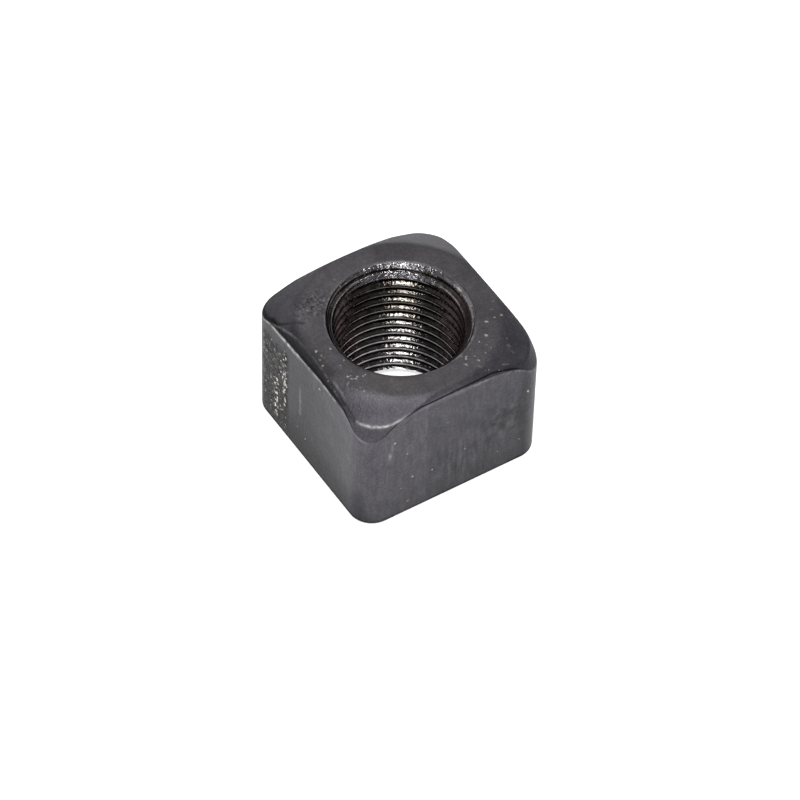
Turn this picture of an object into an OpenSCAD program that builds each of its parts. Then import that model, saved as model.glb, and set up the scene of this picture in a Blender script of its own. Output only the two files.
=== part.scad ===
// A heavy forged square nut: a square block with rounded corners and a coned crown,
// bored through for a 7/8 inch fine thread, with a wide countersink on top and a smaller one below.
// Millimetres. It stands on its bearing face, with the thread axis on +Z.

/* [Block] */

// Width across two opposite flats, in x and in y
across_flats = 33.3; // [32.6:0.1:36]

// Height from the bearing face to the top land
nut_height = 24.5; // [20:0.5:30]

// Radius of the four upright corners
corner_radius = 3.9; // [2.5:0.1:5]

// Width of the small chamfer round the foot of the block
foot_chamfer = 0.3; // [0.2:0.1:0.8]

/* [Crown] */

// Radius of the flat ring on top, where the crown begins to fall
land_radius = 15.85; // [13.5:0.05:16]

// Fall of the crown below the level, in degrees
crown_angle = 30; // [22:1:36]

// How far inside the corner's tip the steep corner cone begins
corner_cone_width = 0.75; // [0.5:0.05:1.5]

// Slope of the corner cone below the level, in degrees
corner_cone_angle = 62; // [52:1:70]

// How far below the top land the edges of the two flats across x lie
edge_drop_x = 1.5; // [1.2:0.1:2.6]

// How far below the top land the edges of the two flats across y lie
edge_drop_y = 2; // [1.2:0.1:2.6]

// Slope of the rolled edge along each flat below the level, in degrees
edge_angle = 62; // [50:1:70]

/* [Bore] */

// Outside diameter of the screw that the thread takes
thread_major_diameter = 22.225; // [18:0.025:22.5]

// Advance of the thread in one turn
thread_pitch = 1.814; // [1.25:0.001:2.2]

// How far the top countersink is wider in radius than the screw
countersink_lip = 0.85; // [0.3:0.05:1]

// Width of the small countersink at the foot of the bore
foot_countersink = 1.2; // [0.4:0.1:1.6]

// Slope of both countersinks below the level, in degrees
countersink_angle = 45; // [30:1:60]

/* [Hidden] */

$fn = 128;

// A tool that cuts a face runs past it by this much
overrun = 1;

half_flat = across_flats / 2;

// Distance from the axis to a corner's centre along x or y, and to its tip
corner_centre = half_flat - corner_radius;
corner_tip = corner_centre * sqrt(2) + corner_radius;

// The crown's cone runs from the land to where the steep corner cone takes over
corner_cone_radius = corner_tip - corner_cone_width;
corner_cone_height = nut_height - (corner_cone_radius - land_radius) * tan(crown_angle);

// The profile of the crown ends outside the corner's tip
crown_reach = corner_tip + overrun;
crown_reach_height = corner_cone_height - (crown_reach - corner_cone_radius) * tan(corner_cone_angle);

// The bore is cut to the crests of the thread, which in a unified thread lie 1.0825 pitches
// inside its outside diameter
bore_radius = (thread_major_diameter - 1.0825 * thread_pitch) / 2;
countersink_radius = thread_major_diameter / 2 + countersink_lip;
countersink_depth = (countersink_radius - bore_radius) * tan(countersink_angle);
foot_countersink_depth = foot_countersink * tan(countersink_angle);
mouth_overrun = overrun / tan(countersink_angle);

// The block between the flats across x, as long as the straight part of those flats
module flat_slab() {
    rotate([90, 0, 0])
        linear_extrude(height = 2 * corner_centre, center = true)
            polygon([
                [foot_chamfer - half_flat, 0],
                [half_flat - foot_chamfer, 0],
                [half_flat, foot_chamfer],
                [half_flat, nut_height],
                [-half_flat, nut_height],
                [-half_flat, foot_chamfer]
            ]);
}

// One rounded upright corner, turned about its own axis
module corner_post() {
    rotate_extrude()
        polygon([
            [0, 0],
            [corner_radius - foot_chamfer, 0],
            [corner_radius, foot_chamfer],
            [corner_radius, nut_height],
            [0, nut_height]
        ]);
}

// The square block with rounded corners, chamfered all round its foot
module block() {
    flat_slab();
    rotate([0, 0, 90])
        flat_slab();
    for (side_x = [-1, 1])
        for (side_y = [-1, 1])
            translate([side_x * corner_centre, side_y * corner_centre, 0])
                corner_post();
}

// The turned envelope of the top: the flat land and the two cones that fall from it
module crown_envelope() {
    rotate_extrude()
        polygon([
            [0, -overrun],
            [crown_reach, -overrun],
            [crown_reach, crown_reach_height],
            [corner_cone_radius, corner_cone_height],
            [land_radius, nut_height],
            [0, nut_height]
        ]);
}

// Everything above the rolled edge of the flat that faces +X
module edge_cutter(edge_drop) {
    translate([half_flat, 0, nut_height - edge_drop])
        rotate([0, edge_angle - 90, 0])
            translate([0, -across_flats, -across_flats])
                cube([across_flats, 2 * across_flats, 2 * across_flats]);
}

// The bore and its two countersinks, as one turned tool
module bore_tool() {
    rotate_extrude()
        polygon([
            [0, -overrun],
            [bore_radius + foot_countersink + mouth_overrun, -overrun],
            [bore_radius, foot_countersink_depth],
            [bore_radius, nut_height - countersink_depth],
            [countersink_radius + mouth_overrun, nut_height + overrun],
            [0, nut_height + overrun]
        ]);
}

module square_nut() {
    color([0.34, 0.34, 0.36])
        difference() {
            intersection() {
                block();
                crown_envelope();
            }
            for (turn = [0, 180]) {
                rotate([0, 0, turn])
                    edge_cutter(edge_drop_x);
                rotate([0, 0, turn + 90])
                    edge_cutter(edge_drop_y);
            }
            bore_tool();
        }
}

square_nut();
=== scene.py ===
import bpy
import numpy as np
from mathutils import Matrix


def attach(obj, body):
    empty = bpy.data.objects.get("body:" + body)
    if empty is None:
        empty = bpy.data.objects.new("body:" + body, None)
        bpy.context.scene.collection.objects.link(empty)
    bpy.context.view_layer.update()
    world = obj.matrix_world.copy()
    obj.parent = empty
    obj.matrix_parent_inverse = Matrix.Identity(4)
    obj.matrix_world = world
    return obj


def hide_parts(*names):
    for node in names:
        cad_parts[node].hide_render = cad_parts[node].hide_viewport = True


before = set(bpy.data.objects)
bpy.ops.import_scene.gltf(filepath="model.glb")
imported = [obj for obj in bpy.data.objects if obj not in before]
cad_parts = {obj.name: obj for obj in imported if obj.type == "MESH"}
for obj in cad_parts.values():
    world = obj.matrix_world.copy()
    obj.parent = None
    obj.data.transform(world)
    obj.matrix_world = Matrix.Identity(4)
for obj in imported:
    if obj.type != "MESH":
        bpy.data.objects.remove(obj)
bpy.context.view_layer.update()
scene = bpy.context.scene
scene.view_settings.view_transform = "Standard"


# The nut
# A heavy square nut, hot forged from steel bar in a closed die, which leaves the coned crown and the
# rolled edges; then it is drilled, countersunk, tapped, blackened and oiled. Sizes in millimetres.
MM = 0.001
half_flat = 33.3 / 2
nut_height = 24.5
corner_radius = 3.9
foot_chamfer = 0.3
land_radius = 15.85
crown_slope = np.tan(np.radians(30.0))
edge_slope = np.tan(np.radians(62.0))

# The rolled edge of the flats that face +X, +Y, -X and -Y: its fall below the land in the middle,
# its rise along the flat, and how much it bows down before and after the middle, per millimetre
rolled_edges = (
    (1.27, 0.0, 0.002, 0.003),
    (2.1, 0.0, 0.0, 0.0),
    (1.75, 0.0, 0.0, 0.0),
    (1.86, 0.06, 0.0, 0.0088),
)

# Each corner is rolled over outside a line that runs this far inside the flats and turns the corner
# with this radius; the die sat off centre, so towards -X the line lies further out
corner_roll_inset = 0.12
corner_roll_radius = 6.6
corner_roll_shift = 1.8

thread_pitch = 1.814
thread_root_radius = 22.225 / 2
thread_crest_radius = thread_root_radius - 1.0825 * thread_pitch / 2
countersink_lip = 0.85
countersink_slope = np.tan(np.radians(55.0))
foot_countersink_radius = thread_crest_radius + 1.2

columns = 360
turn = np.arange(columns) * 2.0 * np.pi / columns

# The tool leaned along a line from the corner of -X and -Y to the corner of +X and +Y, and pushed
# metal inwards at both ends of it, most at the first
lean_angle = np.radians(56.0)
along_lean = np.cos(turn - lean_angle)
drawn_in = 0.45 * np.maximum(-along_lean, 0.0) ** 2 + 0.2 * np.maximum(along_lean, 0.0) ** 2
countersink_radius = thread_root_radius + countersink_lip - drawn_in


def outline_radius(angle, half_width, rounding):
    """Distance from the axis to a square with rounded corners along a ray: half the width over the
    cosine of the angle from the flat's middle, or the far crossing with the corner's circle."""
    quarter = np.pi / 2.0
    off = np.abs((angle + quarter / 2.0) % quarter - quarter / 2.0)
    flat = half_width / np.cos(off)
    centre = half_width - rounding
    along = centre * (np.cos(off) + np.sin(off))
    across = centre * (np.cos(off) - np.sin(off))
    corner = along + np.sqrt(np.maximum(rounding ** 2 - across ** 2, 0.0))
    return np.where(half_width * np.tan(off) <= centre, flat, corner)


def rounded_lowest(distances, width):
    """The lowest of several arrays, with the meeting of two rounded over about the width:
    minus the width times the log of the sum of exp(-distance / width)."""
    low = distances.min(axis=0)
    return low - width * np.log(np.exp((low - distances) / width).sum(axis=0))


outline = outline_radius(turn, half_flat, corner_radius)

# Each face of the block is a half plane in the upright plane through the axis at one angle:
# its slope outwards, its slope upwards and its reach
level = np.ones(columns)
bevels = []
for k, (fall, rise, bow_before, bow_after) in enumerate(rolled_edges):
    off = (turn - k * np.pi / 2.0 + np.pi) % (2.0 * np.pi) - np.pi
    along = half_flat * np.tan(np.clip(off, -np.pi / 4.0, np.pi / 4.0))
    bow = np.where(along < 0.0, bow_before, bow_after)
    edge_line = nut_height - fall + rise * along - bow * along ** 2
    bevels.append((edge_slope * np.cos(off), level, edge_line + edge_slope * half_flat))
roll_line = outline_radius(turn, half_flat - corner_roll_inset, corner_roll_radius)
roll_line = roll_line + corner_roll_shift * np.maximum(-np.cos(turn), 0.0)
roll_height = nut_height - crown_slope * (roll_line - land_radius)
faces_of_block = [
    (0.0 * level, level, nut_height),
    (crown_slope * level, level, nut_height + crown_slope * land_radius),
    (edge_slope * level, level, roll_height + edge_slope * roll_line),
    *bevels,
    (level, 0.0 * level, outline),
    (level, -level, outline - foot_chamfer),
    (0.0 * level, -level, 0.0),
]

# The outside is drawn from a ring inside the wall, by the angle at which a ray leaves that ring
ring_radius = 12.6
ring_height = 10.0
tops = [reach - outwards * outline for outwards, _, reach in faces_of_block[:7]]
edge_height = np.min([top * level for top in tops], axis=0)


def ray_angle(radius, height):
    """Angle above the level at which a ray from the ring reaches a point of the upright plane."""
    return np.arctan2(height - ring_height, radius - ring_radius) * level


def fan(first, last, steps):
    """Angles from the first to the last along each column, the steps being shares from 0 to 1."""
    return first + (last - first) * steps[:, None]


def eased(count):
    """Shares from 0 to 1 that lie close together at both ends, without the last."""
    return (1.0 - np.cos(np.pi * np.arange(count) / count)) / 2.0


mouth_angle = ray_angle(countersink_radius, nut_height)
edge_angle = ray_angle(outline, edge_height)
foot_angle = ray_angle(outline, foot_chamfer)
sole_angle = ray_angle(outline - foot_chamfer, 0.0)
bore_angle = ray_angle(foot_countersink_radius, 0.0)
bore_angle = np.where(bore_angle > 0.0, bore_angle - 2.0 * np.pi, bore_angle)


def reaches_along(angles):
    """Length of the rays at these angles to each face: the room between the ring and the face,
    over the slope of the ray against it; very long where the ray runs away from the face."""
    lengths = []
    for outwards, upwards, reach in faces_of_block:
        slope = outwards * np.cos(angles) + upwards * np.sin(angles)
        room = reach - outwards * ring_radius - upwards * ring_height
        lengths.append(np.where(slope > 1e-3, room / np.maximum(slope, 1e-3), 1e3))
    return np.array(lengths)


# The rows lie closest at the crest, where the crown breaks into the band, and at the rim below it
trial = fan(mouth_angle, edge_angle, np.linspace(0.0, 1.0, 500))
trial_reaches = reaches_along(trial)
on_crown = trial_reaches[:2].min(axis=0) < trial_reaches[2:7].min(axis=0)
crest_share = np.clip(on_crown.mean(axis=0), 0.3, 0.95)
crest_angle = mouth_angle + (edge_angle - mouth_angle) * crest_share
rays = np.concatenate([
    fan(mouth_angle, crest_angle, eased(44)),
    fan(crest_angle, edge_angle, eased(22)),
    fan(edge_angle, foot_angle, eased(31)),
    fan(foot_angle, sole_angle, np.arange(4) / 4.0),
    fan(sole_angle, bore_angle, np.arange(9) / 8.0),
])
reaches = reaches_along(rays)

# The land flows softly into the crown, and over the flat that faces +X into the rolled edge;
# the rolled edges and the corner cone run into one band; the other edges are rounded tightly
edge_rounding = 0.10
crown_rounding = 0.2
corner_rounding = 0.25
soft_roll = np.clip(4.0 * np.cos(turn) - 2.9, 0.0, 1.0) * np.clip(1.0 + 3.0 * np.sin(turn), 0.0, 1.0)
roll_rounding = 0.07 + 0.45 * soft_roll
top_reach = rounded_lowest(reaches[:2], crown_rounding)
band_reach = rounded_lowest(np.stack([reaches[2], reaches[3:7].min(axis=0)]), corner_rounding)
cap_reach = rounded_lowest(np.stack([top_reach, band_reach]), roll_rounding)
reaches_by_face = np.concatenate([cap_reach[None], reaches[7:]])
ray_length = rounded_lowest(reaches_by_face, edge_rounding)
outside_radius = ring_radius + ray_length * np.cos(rays)
outside_height = ring_height + ray_length * np.sin(rays)

# The countersink's mouth is rounded too, which lowers the land beside it
lip_rounding = 0.24
lip_step = np.log1p(np.exp((countersink_radius - outside_radius) / lip_rounding))
lip_fall = countersink_slope * lip_rounding * lip_step
outside_height = outside_height - np.where(outside_height > ring_height, lip_fall, 0.0)
mouth_height = nut_height - countersink_slope * lip_rounding * np.log(2.0)


def thread_radius(turns):
    """Radius of the bore's wall by the turns above the middle of a crest: flat for an eighth of a
    pitch each side of it, then out along the flank, then flat at the root."""
    off = np.abs((turns + 0.5) % 1.0 - 0.5)
    share = np.clip((off - 0.125) / 0.3125, 0.0, 1.0)
    return thread_crest_radius + (thread_root_radius - thread_crest_radius) * share


# The rows of the bore follow the helix, and stop at the mouth and at the foot
row_turns = np.array([-0.5, -0.44, -0.40, -0.28, -0.15, -0.11, 0.0, 0.11, 0.15, 0.28, 0.40, 0.44])
rows_per_turn = len(row_turns)
whole_turns = np.arange(-1, int(nut_height / thread_pitch) + 2)
helix_rows = (whole_turns[:, None] + row_turns[None, :]).ravel()
helix_height = thread_pitch * (helix_rows[:, None] + turn[None, :] / (2.0 * np.pi))
bore_height = np.clip(helix_height, 0.0, mouth_height)
steps_down = (nut_height - bore_height) / (countersink_slope * lip_rounding)
countersink = countersink_radius - lip_rounding * np.log(np.expm1(steps_down))
plain_thread = thread_radius(helix_rows[:, None]) * np.ones((1, columns))
bore_radius = np.maximum.reduce([plain_thread, countersink, foot_countersink_radius - bore_height])

row_count = len(helix_rows)
lowest_row = (helix_height <= 0.0).sum(axis=0) - 1
highest_row = row_count - (helix_height >= mouth_height).sum(axis=0)
row_index = np.arange(row_count)[:, None]
kept_row = np.clip(row_index, lowest_row[None, :], highest_row[None, :])
bore_index = kept_row * columns + np.arange(columns)[None, :]

# The outside shares its first row with the bore's mouth and its last row with the bore's foot
outside_count = rays.shape[0]
outside_index = row_count * columns + np.arange(outside_count * columns).reshape(outside_count, columns)
outside_index[0] = bore_index[-1]
outside_index[-1] = bore_index[0]


def points_of(radius, height):
    """Points from a radius, the column's angle and a height, in millimetres."""
    return np.stack([radius * np.cos(turn), radius * np.sin(turn), height * np.ones_like(radius)], axis=-1)


def quads_between(index, next_column):
    """Four-cornered faces between each row and the next, and each column and the one after it."""
    return np.stack([index[:-1], index[1:], next_column[1:], next_column[:-1]], axis=-1).reshape(-1, 4)


outside_points = points_of(outside_radius, outside_height)
points = np.concatenate([
    points_of(bore_radius, bore_height).reshape(-1, 3),
    outside_points.reshape(-1, 3),
])
next_outside = np.roll(outside_index, -1, axis=1)

# One turn round, a row of the bore meets the row that lies one pitch higher
next_bore = np.roll(bore_index, -1, axis=1)
higher = np.clip(row_index[:, 0] + rows_per_turn, 0, row_count - 1)
next_bore[:, -1] = bore_index[higher, 0]
bore_quads = quads_between(bore_index, next_bore)
outside_quads = quads_between(outside_index, next_outside)
quads = np.concatenate([bore_quads, outside_quads])
triangles = np.concatenate([quads[:, [0, 1, 2]], quads[:, [0, 2, 3]]])
in_bore = np.tile(np.arange(len(quads)) < len(bore_quads), 2)

# Where rows run together, faces shrink to a line or a point and are left out
first, second, third = triangles.T
whole = (first != second) & (second != third) & (third != first)
triangles = triangles[whole]
in_bore = in_bore[whole]
used, corners = np.unique(triangles, return_inverse=True)
points = points[used] * MM
corners = corners.reshape(-1, 3)

# Edges that turn by less than this are shaded round, which rounds the thread's crests
sharp_angle = np.radians(55.0)
nut_mesh = bpy.data.meshes.new("square_nut_forging")
nut_mesh.from_pydata(points.tolist(), [], corners.tolist())
nut_mesh.polygons.foreach_set("material_index", in_bore.astype(np.int32))
nut_mesh.polygons.foreach_set("use_smooth", np.ones(len(corners), dtype=bool))
nut_mesh.set_sharp_from_angle(angle=sharp_angle)
nut = bpy.data.objects.new("square_nut_forging", nut_mesh)
scene.collection.objects.link(nut)

# How much of each face a point of the outside carries, 0 to 1, and from it where two faces meet
cap, side, foot, _ = np.exp((ray_length - reaches_by_face) / edge_rounding)
top = cap * np.exp((cap_reach - top_reach) / roll_rounding)
land = top * np.exp((top_reach - reaches[0]) / crown_rounding)
cone = (cap - top) * np.exp((band_reach - reaches[2]) / corner_rounding)
rolled = cap - top - cone
rim = (4.0 * side * (top + 0.5 * cone + rolled)) ** 2.0
corner_arc = (4.0 * cone * top) ** 1.5
crest = (4.0 * rolled * top) ** 1.5
hem = (4.0 * side * foot) ** 2.0
across_x, across_y, up_z = np.moveaxis(outside_points, -1, 0)
above_edge = outside_height - edge_height


def ramp(value, start, end):
    """A smooth rise from 0 at the start to 1 at the end."""
    share = np.clip((value - start) / (end - start), 0.0, 1.0)
    return share * share * (3.0 - 2.0 * share)


def patch(place, size):
    """Share that falls off as a bell about a place, by a size in x, y and z."""
    return np.exp(-(((outside_points - np.array(place)) / np.array(size)) ** 2).sum(axis=-1))


def stroke(start, end, width):
    """Share that falls off as a bell from a straight line between two points, by a width."""
    start = np.array(start)
    run = np.array(end) - start
    share = np.clip(((outside_points - start) @ run) / (run @ run), 0.0, 1.0)
    off = outside_points - start - share[..., None] * run
    return np.exp(-(off ** 2).sum(axis=-1) / width ** 2)


# Shares of the flat that faces +X, of the flat that faces -Y, of the front corner between them,
# and of the band of rolled edges
on_right = ramp(across_x, 15.2, 16.2)
on_left = ramp(-across_y, 15.0, 16.2)
at_front = ramp(across_x - across_y, 23.0, 27.0)
on_band = np.clip(rolled, 0.0, 1.0)

# A thin line of painted shade lies just above the rim, wider over -Y and faint at the front corner
line_width = 0.16 + 0.24 * on_left * (1.0 - ramp(across_x, 8.0, 12.0))
rim_shade_line = ramp(above_edge, -0.02, 0.06) * (1.0 - ramp(above_edge / line_width, 1.0, 2.0))
rim_shade_line = rim_shade_line * (1.0 - 0.75 * ramp(across_x - across_y, 28.5, 30.5))
tone = 1.0 - (0.65 + 0.15 * on_left + 0.2 * on_right) * rim_shade_line

# The whole band over -Y is darkened by painted shade, most towards -X; over +X a painted sheen makes
# the band paler towards the front
band_shade = 0.42 + 0.42 * (1.0 - ramp(across_x, 3.0, 9.0))
tone = tone * (1.0 - band_shade * on_left * on_band)
band_shine = 1.1 - 1.1 * ramp(across_y, -2.0, 5.0) - 0.2 * ramp(across_y, 2.0, 9.0)
tone = tone * (1.0 + band_shine * on_band * ramp(across_x, 14.0, 15.5))

# One fold in the skin runs over the corner between -X and -Y, and a thinner one inside the crest of
# the band over -Y
fold = (
    stroke((-12.0, -15.8, 22.2), (-9.7, -16.2, 22.8), 0.25)
    + stroke((-9.8, -16.1, 22.8), (-6.8, -13.4, 24.5), 0.27)
    + patch((-10.1, -16.3, 22.5), (0.6, 0.6, 0.6))
    + 0.8 * stroke((5.6, -16.0, 23.8), (9.6, -15.95, 22.9), 0.2)
    + 0.6 * stroke((9.6, -15.95, 22.9), (12.3, -15.8, 22.1), 0.2)
)
tone = tone * (1.0 - 0.75 * np.clip(fold, 0.0, 1.0))

# The flat that faces +X darkens in a step at an old wipe mark; painted shade darkens it on towards
# its far end, up to the corner, and the corner itself is painted a little paler as a reflection
wipe_step = ramp(across_y, -5.45, -5.15)
tone = tone * (1.0 - on_right * side * (0.19 * wipe_step + 0.05 * ramp(across_y, 0.0, 15.0)))
far_end_shade = ramp(across_y, 11.0, 13.0) * (1.0 - 0.3 * ramp(across_y, 13.4, 13.9))
tone = tone * (1.0 - 0.34 * side * far_end_shade * ramp(across_x, 12.5, 14.5))

# Painted shade: the flat that faces -Y is darkest towards -X and low down
tone = tone * (1.0 - on_left * side * (0.54 - 0.48 * ramp(across_x, -2.0, 13.0)))
tone = tone * (1.0 - 0.42 * on_left * side * (1.0 - ramp(up_z, 1.0, 9.0)))

# All flats are painted darker as shade, most towards the foot and least high up, where a painted sheen
# lifts them; a line of painted shadow runs round the foot of the nut and under it
low_shade = 0.20 * (1.0 - ramp(up_z, 0.0, 12.0))
high_shine = 0.12 * ramp(up_z, 14.0, 21.0)
tone = tone * (1.0 - side * (0.20 + low_shade - high_shine))
foot_shadow = 1.0 - ramp(up_z, 0.5, 0.9)
tone = tone * (1.0 - 0.5 * foot_shadow)

# Painted shade: the crown is duller over the front corner and along the band over -Y, and the roll of
# the corner between +X and +Y is dark
tone = tone * (1.0 - 0.32 * at_front * (top - land))
tone = tone * (1.0 - 0.36 * top * stroke((-7.0, -15.6, 24.3), (4.0, -15.4, 24.3), 1.0))
tone = tone * (1.0 - 0.65 * (cap - top) * ramp(across_x + across_y, 24.0, 27.0))

# Softer areas, paler or darker: the change of tone, the faces that show it, the place and the size
for change, faces, middle, size in (
    (0.20, side, (13.5, -14.5, 12.0), (3.0, 3.0, 11.0)),
    (0.15, side, (11.3, -16.6, 8.0), (1.5, 1.0, 4.0)),
    (0.30, top, (-9.0, -9.5, 24.5), (6.0, 6.0, 3.0)),
    (0.28, top, (-10.0, -14.0, 24.0), (2.5, 2.5, 2.0)),
    (-0.24, top, (-12.5, 7.5, 24.5), (4.0, 4.0, 3.0)),
    (-0.20, top, (-3.5, 14.0, 24.5), (4.0, 3.0, 3.0)),
    (-0.22, top, (7.5, 13.0, 24.5), (4.0, 3.0, 3.0)),
    (-0.18, top - land, (12.5, 12.5, 23.5), (4.0, 4.0, 3.0)),
    (-0.30, top - land, (14.8, -9.4, 23.7), (4.0, 4.0, 2.0)),
):
    tone = tone * (1.0 + change * faces * patch(middle, size))

# The land is warmer than the rest, and browner towards the corner between +X and -Y
land_tint = np.array([0.96, 0.92, 0.91])
other_tint = np.array([1.03, 1.01, 1.05])
skin_tint = tone[..., None] * (land[..., None] * land_tint + (1.0 - land)[..., None] * other_tint)
brown_land = land * patch((11.5, -8.5, 24.5), (4.0, 4.0, 2.0))
skin_tint = skin_tint * (1.0 + brown_land[..., None] * np.array([0.16, 0.13, 0.05]))

# An upright strip of the flat that faces -Y is darker and browner, with torn scale along two lines;
# the scale is pitted on the land beside the bore too
strip = ramp(-across_y, 16.0, 16.5) * ramp(across_x, -14.5, -13.0) * (1.0 - ramp(across_x, -6.6, -5.4))
strip = strip * ramp(up_z, 0.5, 3.0) * (1.0 - ramp(up_z, 18.0, 20.5))
skin_tint = skin_tint * (1.0 - strip[..., None] * np.array([0.30, 0.33, 0.40]))
torn_line = np.exp(-((across_x + 6.9) / 0.6) ** 2) * ramp(up_z, 5.0, 9.0)
torn_line = torn_line + np.exp(-((across_x + 9.3) / 0.7) ** 2) * (1.0 - ramp(up_z, 10.0, 13.0))
rough = strip * (0.35 + 0.65 * torn_line) + 0.26 * patch((-9.3, -9.8, 24.5), (3.4, 4.4, 1.0))

# How many spots hold a chip: most in a few places, and some all over the land and the flats
chipped = (
    1.0 * patch((3.0, -14.5, 24.0), (5.0, 1.6, 1.5))
    + 1.20 * patch((7.5, -12.2, 24.3), (3.5, 1.8, 0.8))
    + 1.60 * patch((13.6, 5.5, 24.0), (2.0, 3.0, 1.5))
    + 0.25 * patch((9.5, 12.0, 24.0), (4.0, 3.0, 1.5))
    + 0.60 * stroke((16.4, 13.9, 18.0), (16.4, 13.9, 9.0), 0.5)
    + 0.025 * land
    + 0.014 * side
)

# Pale scratches on the crown and the flats
scratches = (
    stroke((12.8, 11.6, 23.7), (13.5, 12.3, 23.3), 0.12)
    + stroke((13.3, 11.4, 23.6), (14.3, 12.0, 23.0), 0.12)
    + stroke((15.6, 8.8, 23.3), (15.7, 9.8, 23.0), 0.12)
    + 0.6 * stroke((5.6, -15.55, 24.1), (8.6, -15.5, 23.4), 0.12)
    + 0.6 * stroke((-2.3, -16.6, 15.5), (-2.3, -16.6, 9.5), 0.25)
    + 0.5 * stroke((16.6, -11.4, 17.8), (16.6, -12.0, 15.4), 0.22)
    + 0.5 * stroke((16.6, -12.0, 15.4), (16.6, -12.4, 13.9), 0.22)
)

# Edges that are rubbed bright and carry painted highlights: the rims, the roll of the front corner,
# which is a painted highlight only, the crest over -Y, the hem below the front corner, a length of
# skin under the rim over -Y, and the countersink's mouth
rim_wear_and_glint = 0.15 + 0.65 * on_left + 0.4 * on_right * ramp(across_y, 2.0, 5.0)
arc_glint = at_front * ramp(across_x + across_y, -3.6, -2.4)
rubbed_and_glint = rim * rim_wear_and_glint + corner_arc * arc_glint + 0.4 * crest * on_left
rubbed_and_glint = rubbed_and_glint + 0.25 * ramp(hem, 0.2, 0.9) * at_front
rubbed_and_glint = rubbed_and_glint + 0.35 * stroke((-9.3, -16.65, 22.0), (-3.0, -16.65, 22.3), 0.28)
mouth_edge = np.exp(-((outside_radius - countersink_radius - 0.1) / 0.2) ** 2) * (up_z > ring_height)
mouth_wear_and_glint = 0.1 + 0.6 * ramp(np.cos(turn - 0.3), 0.7, 0.95) + 0.25 * ramp(-along_lean, 0.6, 0.95)
rubbed_and_glint = rubbed_and_glint + mouth_edge * mouth_wear_and_glint
wear_and_glint = np.clip(rubbed_and_glint + 0.5 * scratches, 0.0, 1.0)

# Shallow dents over the far half of the flat that faces +X, and runs of dirt down all flats, most of
# them low on that one
dented = patch((16.6, 9.0, 11.5), (1.0, 4.5, 4.5))
streaked = side * (0.26 + 0.74 * patch((16.6, 1.0, 6.0), (1.0, 6.0, 4.5)))

# Painted shade that stays dark at a glancing view too: along the foot, and low on the flat that faces -Y
reflection_shade = 0.8 * foot_shadow + 0.16 * on_left * side * (1.0 - ramp(up_z, 1.0, 14.0))

# The countersink is torn on the side across from the front corner, and turned in rings on the two
# sides next to it
across_bore = 0.55 * np.sin(turn) - 0.83 * np.cos(turn)
torn_side = ramp(across_bore, 0.35, 0.9)
above_thread = ramp(bore_radius - plain_thread, 0.0, 0.3)
torn_cone = above_thread * torn_side
ringed = above_thread * ramp(np.abs(along_lean), 0.35, 0.85)
ringed = ringed * (1.0 - 0.6 * ramp(along_lean, 0.3, 0.8))

# Oil lies thicker on the upper turns of the thread than on the lower ones; its tint is painted by
# where the light falls, yellow in the lit middle across from the front corner and browner on the
# shaded sides
oil = ramp(bore_height, 6.0, 17.0) * (1.0 - torn_cone)
brown_side = 1.0 - ramp(across_bore, 0.6, 0.95)
oil_tint = np.array([0.575, 0.555, 0.475]) + brown_side[:, None] * np.array([0.0, 0.0, 0.075])
bore_tint = (1.0 - oil)[..., None] + oil[..., None] * oil_tint

# A painted sheen makes the countersink's cone paler than the thread, most towards the corner between
# +X and +Y
cone_shine = 1.2 + 8.0 * ramp(along_lean, 0.3, 0.8)
bore_tint = bore_tint * (1.0 + cone_shine * above_thread * (1.0 - torn_side))[..., None]

# The lower turns are darkened on one side by painted shade, and their crests are painted bright as
# highlights
low_wall_shade = ramp(np.cos(turn - np.radians(82.0)), 0.45, 0.9) * (1.0 - ramp(bore_height, 11.0, 17.0))
bore_tint = bore_tint * (1.0 - 0.6 * low_wall_shade)[..., None]
on_crest = np.abs(helix_rows - np.round(helix_rows)) < 0.05
crest_highlight = on_crest[:, None] * (1.0 - ramp(bore_height, 12.0, 19.0))
bore_tint = bore_tint * (1.0 + 2.0 * crest_highlight)[..., None]
# Painted by where the light falls: the shaded sides are browner, less so on the cone
shaded_side_brown = brown_side * (1.0 - 0.9 * above_thread)
bore_tint = bore_tint * (1.0 + shaded_side_brown[..., None] * np.array([0.05, -0.16, -0.13]))
# The torn part of the cone is paler metal, lifted further by a painted highlight
bore_tint = bore_tint + torn_cone[..., None] * np.array([1.0, 1.1, 1.15])

# The materials read these shares and the tint from the points of the mesh
bore_zero = np.zeros(bore_radius.size)
outside_zero = np.zeros(outside_radius.size)
for name, bore_part, outside_part in (
    ("wear_and_glint", bore_zero, wear_and_glint),
    ("rough", bore_zero, np.clip(rough, 0.0, 1.0)),
    ("chipped", bore_zero, chipped),
    ("streaked", bore_zero, streaked),
    ("dented", bore_zero, dented),
    ("reflection_shade", bore_zero, reflection_shade),
    ("torn_cone", torn_cone, outside_zero),
    ("ringed", ringed, outside_zero),
):
    values = np.concatenate([bore_part.ravel(), outside_part.ravel()])[used]
    shares = nut_mesh.attributes.new(name, "FLOAT", "POINT")
    shares.data.foreach_set("value", values.astype(np.float32))
tint = np.concatenate([bore_tint.reshape(-1, 3), skin_tint.reshape(-1, 3)])[used]
tint = np.concatenate([tint, np.ones((len(tint), 1))], axis=1)
tints = nut_mesh.attributes.new("tint", "FLOAT_COLOR", "POINT")
tints.data.foreach_set("color", tint.ravel().astype(np.float32))
nut_mesh.update()


def linear(hex_colour):
    """Linear red, green, blue and alpha of an sRGB hex colour."""
    parts = np.array([int(hex_colour[k:k + 2], 16) for k in (1, 3, 5)]) / 255.0
    curve = np.where(parts <= 0.04045, parts / 12.92, ((parts + 0.055) / 1.055) ** 2.4)
    return (*curve.tolist(), 1.0)


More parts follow.
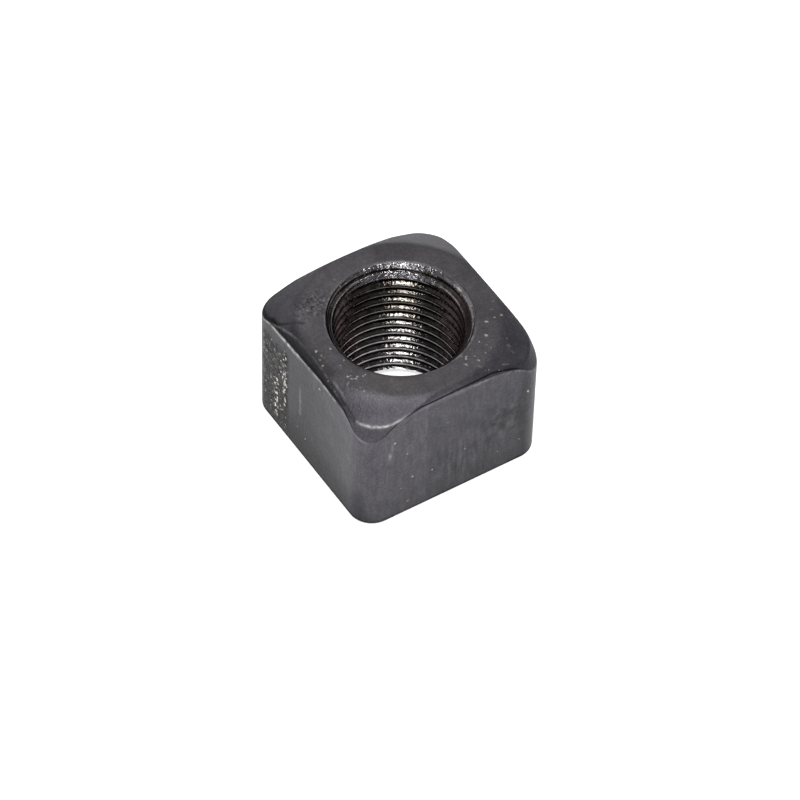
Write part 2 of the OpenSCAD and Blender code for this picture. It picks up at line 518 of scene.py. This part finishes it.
def add(tree, kind, inputs=None, **settings):
    """Adds a node, gives it its settings, and links or sets each named or numbered input."""
    made = tree.nodes.new(kind)
    for name, value in settings.items():
        setattr(made, name, value)
    for name, value in (inputs or {}).items():
        if isinstance(value, bpy.types.NodeSocket):
            tree.links.new(value, made.inputs[name])
        else:
            made.inputs[name].default_value = value
    return made


def new_material(name):
    """An empty node material and its tree."""
    material = bpy.data.materials.new(name)
    material.use_nodes = True
    material.node_tree.nodes.clear()
    return material, material.node_tree


def place_in_mm(tree):
    """The place on the object, in millimetres."""
    place = add(tree, "ShaderNodeTexCoord").outputs["Object"]
    return add(tree, "ShaderNodeVectorMath", {0: place, "Scale": 1.0 / MM}, operation="SCALE").outputs[0]


def share_of(tree, name):
    """One of the shares that the mesh carries, by its name."""
    return add(tree, "ShaderNodeAttribute", attribute_name=name).outputs["Fac"]


def noise(tree, place, size, detail, roughness=0.5):
    """A noise whose blotches are about the size across, in millimetres."""
    return add(tree, "ShaderNodeTexNoise", {
        "Vector": place,
        "Scale": 1.0 / size,
        "Detail": detail,
        "Roughness": roughness,
    })


def arithmetic(tree, operation, *values):
    """One step of arithmetic on two or three values, by the operation's name."""
    return add(tree, "ShaderNodeMath", dict(enumerate(values)), operation=operation).outputs[0]


def spread(tree, value, low, high, new_low=0.0, new_high=1.0):
    """A value carried from one range to another, and held inside it."""
    return add(tree, "ShaderNodeMapRange", {
        "Value": value,
        "From Min": low,
        "From Max": high,
        "To Min": new_low,
        "To Max": new_high,
    }).outputs[0]


def blend(tree, share, under, over, blend_type="MIX", data_type="RGBA"):
    """One colour or value laid over another by a share."""
    return add(tree, "ShaderNodeMix", {
        "Factor": share,
        "A": under,
        "B": over,
    }, data_type=data_type, blend_type=blend_type).outputs["Result"]


def end_in_steel(tree, colour, relief, settings):
    """Ends a material in one metal shader, with a relief in millimetres."""
    bump = add(tree, "ShaderNodeBump", {"Height": relief, "Strength": 1.0, "Distance": MM})
    shader = add(tree, "ShaderNodeBsdfPrincipled", {
        "Base Color": colour,
        "Normal": bump.outputs["Normal"],
        **settings,
    })
    add(tree, "ShaderNodeOutputMaterial", {"Surface": shader.outputs["BSDF"]})


# Blackened forged steel: a thin dark oxide over scale that the die pressed smooth, so the eye sees
# a satin charcoal grey, mottled and finely grained, streaked down the flats and rubbed at the edges,
# where highlights are painted too
skin, tree = new_material("blackened_forged_steel")
place = place_in_mm(tree)
mottle = noise(tree, place, 3.5, 6.0, 0.72)
oxide = blend(tree, mottle.outputs["Fac"], linear("#38373b"), linear("#6b6a6e"))
skin_tint_read = add(tree, "ShaderNodeAttribute", attribute_name="tint").outputs["Color"]
oxide = blend(tree, 1.0, oxide, skin_tint_read, "MULTIPLY")

# Sandy grain, paler and darker by a fifth
grain = noise(tree, place, 0.4, 3.0, 0.6)
grain_level = spread(tree, grain.outputs["Fac"], 0.3, 0.7, 0.8, 1.2)
oxide = blend(tree, 1.0, oxide, grain_level, "MULTIPLY")

# Streaks down the flats, about two thirds of a millimetre wide and three long
streaks_per_mm = (1.5, 1.5, 0.3)
streak_place = add(tree, "ShaderNodeVectorMath", {0: place, 1: streaks_per_mm}, operation="MULTIPLY")
streaks = noise(tree, streak_place.outputs[0], 1.0, 3.0)
streak_level = spread(tree, streaks.outputs["Fac"], 0.3, 0.7, 0.5, 1.5)
streak_tone = blend(tree, share_of(tree, "streaked"), 1.0, streak_level, data_type="FLOAT")
oxide = blend(tree, 1.0, oxide, streak_tone, "MULTIPLY")

# Torn places: dark pits and bright flecks
rough_share = share_of(tree, "rough")
in_rough = spread(tree, rough_share, 0.05, 0.3)
pits = noise(tree, place, 0.6, 5.0, 0.7).outputs["Fac"]
dark_share = arithmetic(tree, "MULTIPLY", spread(tree, pits, 0.54, 0.42), in_rough)
oxide = blend(tree, dark_share, oxide, linear("#262423"))
fleck_height = arithmetic(tree, "MULTIPLY_ADD", rough_share, 0.14, pits)
fleck_share = arithmetic(tree, "MULTIPLY", spread(tree, fleck_height, 0.67, 0.71), in_rough)
oxide = blend(tree, fleck_share, oxide, linear("#dedcd2"))

# Grime in the pits and painted shade along the foot dull what the skin reflects at a glancing view,
# less so in the pits than along the foot
pit_grime = arithmetic(tree, "MULTIPLY", dark_share, 0.4)
grime_and_shade = arithmetic(tree, "MAXIMUM", pit_grime, share_of(tree, "reflection_shade"))
glancing = blend(tree, grime_and_shade, linear("#ffffff"), linear("#3a3838"))

# Rubbed edges and painted edge highlights, broken by the scale that is left on them
rub = noise(tree, place, 1.2, 4.0, 0.65)
rub_level = spread(tree, rub.outputs["Fac"], 0.32, 0.62)
rub_and_glint_share = arithmetic(tree, "MULTIPLY", rub_level, share_of(tree, "wear_and_glint"))
oxide = blend(tree, rub_and_glint_share, oxide, linear("#c8c6c6"))

# Small bright chips of uneven outline, in flocks, a quarter of them rusty
bent = add(tree, "ShaderNodeVectorMath", {
    0: rub.outputs["Color"],
    1: (0.8, 0.8, 0.8),
    2: place,
}, operation="MULTIPLY_ADD")
bent = add(tree, "ShaderNodeVectorMath", {
    0: grain.outputs["Color"],
    1: (0.7, 0.7, 0.7),
    2: bent.outputs[0],
}, operation="MULTIPLY_ADD")
cells = add(tree, "ShaderNodeTexVoronoi", {"Vector": bent.outputs[0], "Scale": 1.0 / 0.6})
chance, rust, extent = add(tree, "ShaderNodeSeparateColor", {0: cells.outputs["Color"]}).outputs
chip_radius = arithmetic(tree, "MULTIPLY", extent, 0.4)
in_chip = arithmetic(tree, "LESS_THAN", cells.outputs["Distance"], chip_radius)
flock = spread(tree, mottle.outputs["Fac"], 0.4, 0.52)
chip_share = arithmetic(tree, "MULTIPLY", share_of(tree, "chipped"), flock)
chip_there = arithmetic(tree, "LESS_THAN", chance, chip_share)
chip = arithmetic(tree, "MULTIPLY", in_chip, chip_there)
rusty = arithmetic(tree, "GREATER_THAN", rust, 0.75)
chip_colour = blend(tree, rusty, linear("#a3a199"), linear("#786b60"))
oxide = blend(tree, chip, oxide, chip_colour)

# The dents are darker in their hollows, in smears one or two millimetres across, with paler metal on
# the rises between them
dents_per_mm = (1.0, 0.6, 0.5)
dent_share = share_of(tree, "dented")
dent_place = add(tree, "ShaderNodeVectorMath", {0: place, 1: dents_per_mm}, operation="MULTIPLY")
dents = noise(tree, dent_place.outputs[0], 1.0, 3.0).outputs["Fac"]
dent_level = spread(tree, dents, 0.35, 0.6, 0.4, 1.25)
dent_tone = blend(tree, dent_share, 1.0, dent_level, data_type="FLOAT")
oxide = blend(tree, 1.0, oxide, dent_tone, "MULTIPLY")

# Relief in millimetres: shallow dents, fine grain everywhere, deeper pits in the torn places
dent_depth = arithmetic(tree, "MULTIPLY", arithmetic(tree, "MULTIPLY", dents, dent_share), 0.25)
grain_relief = arithmetic(tree, "MULTIPLY_ADD", grain.outputs["Fac"], 0.06, dent_depth)
pit_depth = arithmetic(tree, "MULTIPLY", pits, rough_share)
skin_relief = arithmetic(tree, "MULTIPLY_ADD", pit_depth, 0.25, grain_relief)
end_in_steel(tree, oxide, skin_relief, {
    "Metallic": 0.9,
    "Roughness": 0.48,
    "Specular Tint": glancing,
})

# Tapped steel under oil: brown-black where the oil lies, smooth enough that each flank flashes in
# one narrow place, and a little torn, which breaks that flash into sparks
thread, tree = new_material("tapped_oiled_steel")
place = place_in_mm(tree)
stain = noise(tree, place, 1.5, 4.0, 0.6).outputs["Fac"]
steel = blend(tree, spread(tree, stain, 0.25, 0.75), linear("#392d2d"), linear("#777778"))
bore_tint_read = add(tree, "ShaderNodeAttribute", attribute_name="tint").outputs["Color"]
steel = blend(tree, 1.0, steel, bore_tint_read, "MULTIPLY")

# The countersinking tool left two or three turned rings, bright on their ridges; the wave makes
# ten turns over a length of pi
ring_spacing = 0.65
ring_share = share_of(tree, "ringed")
rings = add(tree, "ShaderNodeTexWave", {
    "Vector": place,
    "Scale": np.pi / 10.0 / ring_spacing,
}, bands_direction="Z").outputs["Fac"]
ridge = arithmetic(tree, "POWER", rings, 2.0)
ridge_share = arithmetic(tree, "MULTIPLY", ridge, ring_share)
steel = blend(tree, ridge_share, steel, linear("#a8a6a6"))

# Relief in millimetres: a crust on the torn part of the countersink, fine tears everywhere, the rings
crust = noise(tree, place, 0.9, 3.0, 0.5).outputs["Fac"]
crust_depth = arithmetic(tree, "MULTIPLY", share_of(tree, "torn_cone"), 0.35)
crust_relief = arithmetic(tree, "MULTIPLY", crust, crust_depth)
tears = noise(tree, place, 0.5, 2.0, 0.6).outputs["Fac"]
tear_relief = arithmetic(tree, "MULTIPLY_ADD", tears, 0.07, crust_relief)
ring_depth = arithmetic(tree, "MULTIPLY", ring_share, 0.14)
thread_relief = arithmetic(tree, "MULTIPLY_ADD", rings, ring_depth, tear_relief)
end_in_steel(tree, steel, thread_relief, {
    "Metallic": 0.95,
    "Roughness": 0.12,
})

nut_mesh.materials.append(skin)
nut_mesh.materials.append(thread)
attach(nut, "root")
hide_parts("square_nut")


# The floor
# A plain white table, laid with matt paper, that runs far past the picture and takes the nut's soft
# shadow; it lies a hair below the nut, so that the two never share a plane.
floor_half = 3.0
floor_height = -0.02 * MM
floor_mesh = bpy.data.meshes.new("table_top")
floor_mesh.from_pydata([
    (-floor_half, -floor_half, floor_height),
    (floor_half, -floor_half, floor_height),
    (floor_half, floor_half, floor_height),
    (-floor_half, floor_half, floor_height),
], [], [(0, 1, 2, 3)])
floor = bpy.data.objects.new("table_top", floor_mesh)
scene.collection.objects.link(floor)

# White paper: matt, and lifted to pure white for the camera and in the steel's reflections
paper, tree = new_material("white_paper")
seen = add(tree, "ShaderNodeLightPath")
direct = arithmetic(tree, "MAXIMUM", seen.outputs["Is Camera Ray"], seen.outputs["Is Glossy Ray"])
lift = arithmetic(tree, "MULTIPLY", direct, 0.68)
matt = add(tree, "ShaderNodeBsdfDiffuse", {"Color": linear("#e8e8e8")})
glow = add(tree, "ShaderNodeEmission", {"Color": linear("#ffffff"), "Strength": lift})
both = add(tree, "ShaderNodeAddShader", {0: matt.outputs[0], 1: glow.outputs[0]})
add(tree, "ShaderNodeOutputMaterial", {"Surface": both.outputs[0]})
floor_mesh.materials.append(paper)


# The light and the camera
# A pale room, white where the camera sees it, with a small strong lamp high over the camera, a large
# one across from it, a window below the first, and three weaker lamps round about.
world = bpy.data.worlds.new("white_room")
world.use_nodes = True
scene.world = world
tree = world.node_tree
tree.nodes.clear()
seen = add(tree, "ShaderNodeLightPath")
white = blend(tree, seen.outputs["Is Camera Ray"], linear("#7c7c7e"), linear("#ffffff"))
sky = add(tree, "ShaderNodeBackground", {"Color": white, "Strength": 1.0})
add(tree, "ShaderNodeOutputWorld", {"Surface": sky.outputs[0]})

camera_azimuth = np.radians(56.306)
camera_elevation = np.radians(48.562)
camera_roll = np.radians(-1.733)
camera_distance = 703.5
camera_pixels_per_mm = 6.28
picture_width = 800.0
sensor_width = 36.0
aim_right = 0.548
aim_up = 3.42


def direction(azimuth, elevation):
    """Direction from the nut at an azimuth from -Y towards +X and an elevation, both in radians."""
    level_reach = np.cos(elevation)
    return np.array([
        np.sin(azimuth) * level_reach,
        -np.cos(azimuth) * level_reach,
        np.sin(elevation),
    ])


towards_camera = direction(camera_azimuth, camera_elevation)
level_right = np.array([np.cos(camera_azimuth), np.sin(camera_azimuth), 0.0])
level_up = np.cross(towards_camera, level_right)
picture_right = np.cos(camera_roll) * level_right - np.sin(camera_roll) * level_up
picture_up = np.sin(camera_roll) * level_right + np.cos(camera_roll) * level_up


def stand(thing, position, right, up, back):
    """Puts a lamp or camera at a place in millimetres, its axes given as three directions."""
    turned = np.eye(4)
    turned[:3, 0] = right
    turned[:3, 1] = up
    turned[:3, 2] = back
    turned[:3, 3] = np.asarray(position) * MM
    thing.matrix_world = Matrix(turned.tolist())


camera_data = bpy.data.cameras.new("camera")
camera_data.sensor_width = sensor_width
camera_data.lens = camera_pixels_per_mm * camera_distance / picture_width * sensor_width
camera_data.clip_start = 0.01
camera = bpy.data.objects.new("camera", camera_data)
scene.collection.objects.link(camera)
camera_position = aim_right * picture_right + aim_up * picture_up + camera_distance * towards_camera
stand(camera, camera_position, picture_right, picture_up, towards_camera)
scene.camera = camera

# Each lamp is square and faces the nut: its azimuth and elevation in degrees, its distance and width
# in millimetres, and its power
for name, azimuth, elevation, distance, width, power in (
    ("overhead_lamp", 57.0, 71.0, 900.0, 190.0, 4.0),
    ("front_lamp", 35.0, 25.0, 1100.0, 400.0, 0.7),
    ("back_lamp", 236.0, 52.0, 900.0, 900.0, 2.4),
    ("window", 56.0, 36.0, 1100.0, 300.0, 2.2),
    ("left_lamp", -39.0, 50.0, 1000.0, 450.0, 0.3),
    ("far_lamp", 174.0, 34.0, 1000.0, 350.0, 0.32),
):
    lamp_data = bpy.data.lights.new(name, "AREA")
    lamp_data.shape = "SQUARE"
    lamp_data.size = width * MM
    lamp_data.energy = power
    lamp = bpy.data.objects.new(name, lamp_data)
    scene.collection.objects.link(lamp)
    back = direction(np.radians(azimuth), np.radians(elevation))
    right = np.array([np.cos(np.radians(azimuth)), np.sin(np.radians(azimuth)), 0.0])
    stand(lamp, back * distance, right, np.cross(back, right), back)
